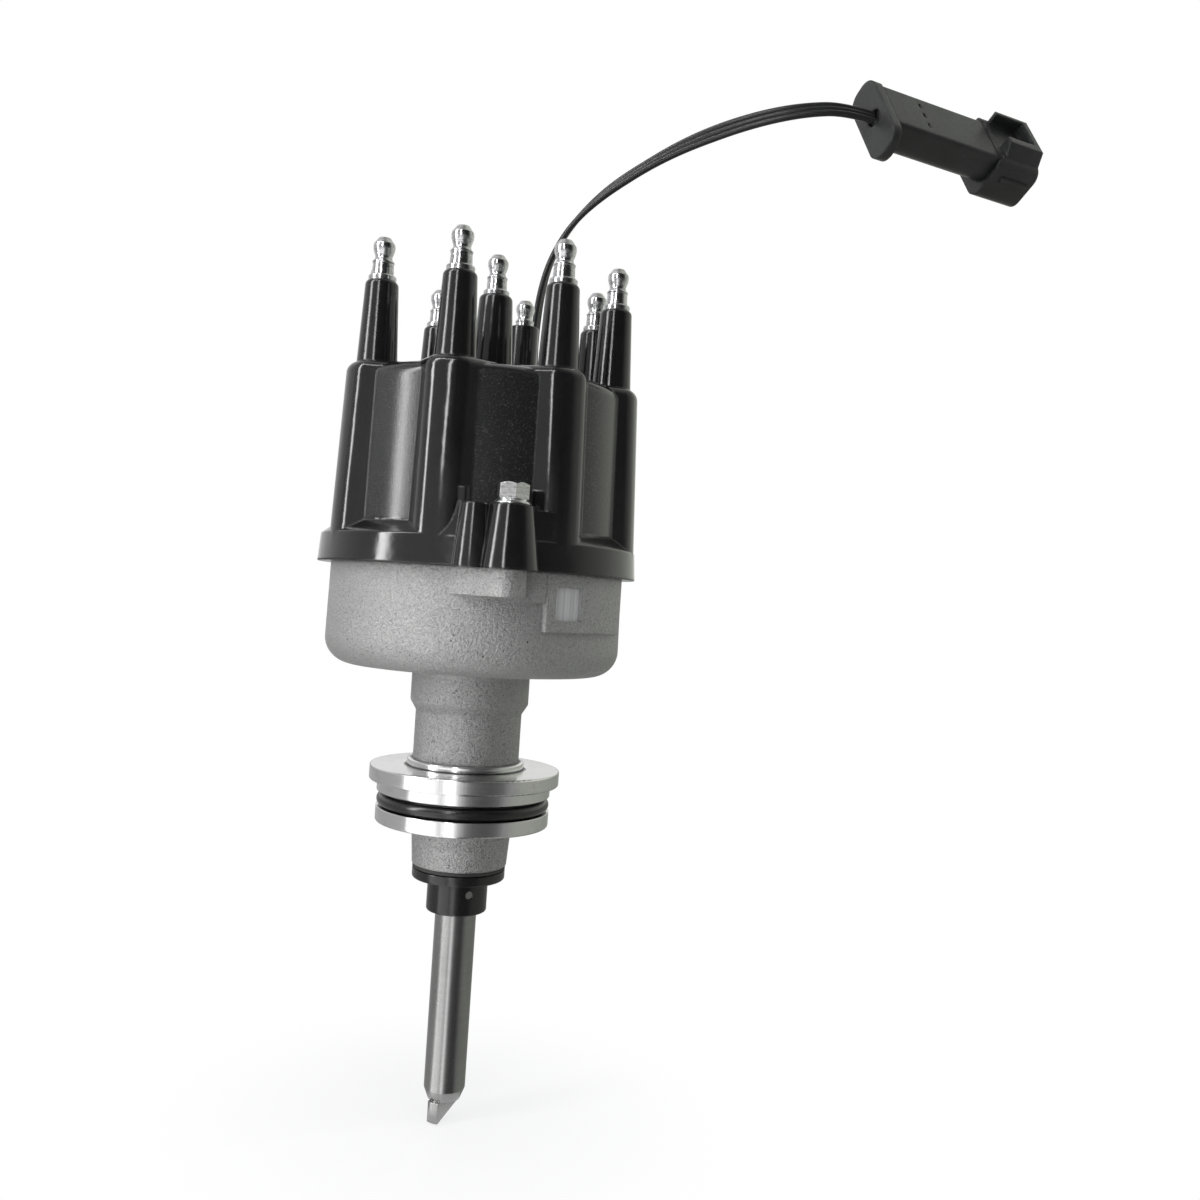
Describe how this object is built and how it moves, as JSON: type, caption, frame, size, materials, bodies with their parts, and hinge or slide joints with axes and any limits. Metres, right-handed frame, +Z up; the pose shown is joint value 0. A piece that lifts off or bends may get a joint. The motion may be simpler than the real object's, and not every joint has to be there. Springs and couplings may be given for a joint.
{
  "type": "ignition distributor",
  "caption": "Engine ignition distributor: ribbed cap with cable towers, cast bowl and neck, flanged pilot with O-ring, tang-driven shaft, and a short sensor lead with a plug.",
  "frame": {"origin": "centre of the hold-down flange's underside, on the drive shaft's axis", "axes": "+Z up along the shaft towards the cap's towers, -Y towards the front cap screw's side"},
  "size_m": [0.2396, 0.1493, 0.3494],
  "materials": {
    "cast_aluminium": "bead-blasted casting with turned lands",
    "o_ring_rubber": "smooth black rubber",
    "cap_black": "glossy moulded phenolic, matt panels",
    "zinc_plate": "bright zinc plate",
    "post_aluminium": "bright turned aluminium",
    "bronze": "sintered bronze",
    "shaft_steel": "ground steel",
    "collar_plastic": "satin black",
    "washer_fibre": "dark thrust washer",
    "plate_steel": "plated sheet steel",
    "pulse_steel": "stamped steel",
    "rotor_plastic": "moulded black phenolic",
    "blade_brass": "stamped brass",
    "carbon": "pressed carbon",
    "spring_steel": "spring wire",
    "sensor_plastic": "moulded black plastic",
    "grommet_rubber": "moulded black rubber",
    "lead_vinyl": "satin black insulation",
    "connector_plastic": "dark grey moulded plastic",
    "seal_rubber": "soft dark seal",
    "contact_tin": "tin-plated contacts"
  },
  "bodies": {
    "case": {"housing": "cast_aluminium", "upper_bushing": "bronze", "lower_bushing": "bronze", "pilot_o_ring": "o_ring_rubber", "end_washer": "washer_fibre", "distributor_cap": "cap_black", "cap_screw_front": "zinc_plate", "cap_screw_rear": "zinc_plate", "coil_terminal": "post_aluminium", "button_spring": "spring_steel", "sensor_plate": "plate_steel", "sensor_body": "sensor_plastic", "sensor_screws": "zinc_plate", "lead_grommet": "grommet_rubber", "sensor_lead": "lead_vinyl", "connector_rear_plate": "connector_plastic", "connector_body": "connector_plastic", "connector_front_shell": "connector_plastic", "connector_seal": "seal_rubber", "connector_contacts": "contact_tin", "plug_terminal_1": "post_aluminium", "plug_terminal_2": "post_aluminium", "plug_terminal_3": "post_aluminium", "plug_terminal_4": "post_aluminium", "plug_terminal_5": "post_aluminium", "plug_terminal_6": "post_aluminium", "plug_terminal_7": "post_aluminium", "plug_terminal_8": "post_aluminium"},
    "rotor_shaft": {"drive_shaft": "shaft_steel", "drive_collar": "collar_plastic", "collar_pin": "spring_steel", "upper_washer": "washer_fibre", "pulse_ring": "pulse_steel", "rotor": "rotor_plastic", "rotor_blade": "blade_brass", "rotor_spring": "spring_steel"},
    "button": {"carbon_button": "carbon"}
  },
  "joints": [
    {"name": "shaft_spin", "type": "hinge", "parent": "case", "child": "rotor_shaft", "pos_m": [0, 0, 0], "axis": [0, 0, 1], "continuous": true},
    {"name": "button_slide", "type": "slide", "parent": "case", "child": "button", "axis": [0, 0, 1], "range_m": [0, 0.002], "stiffness_N_per_m": 150, "springref_m": -0.004, "deforming": ["button_spring"]}
  ]
}
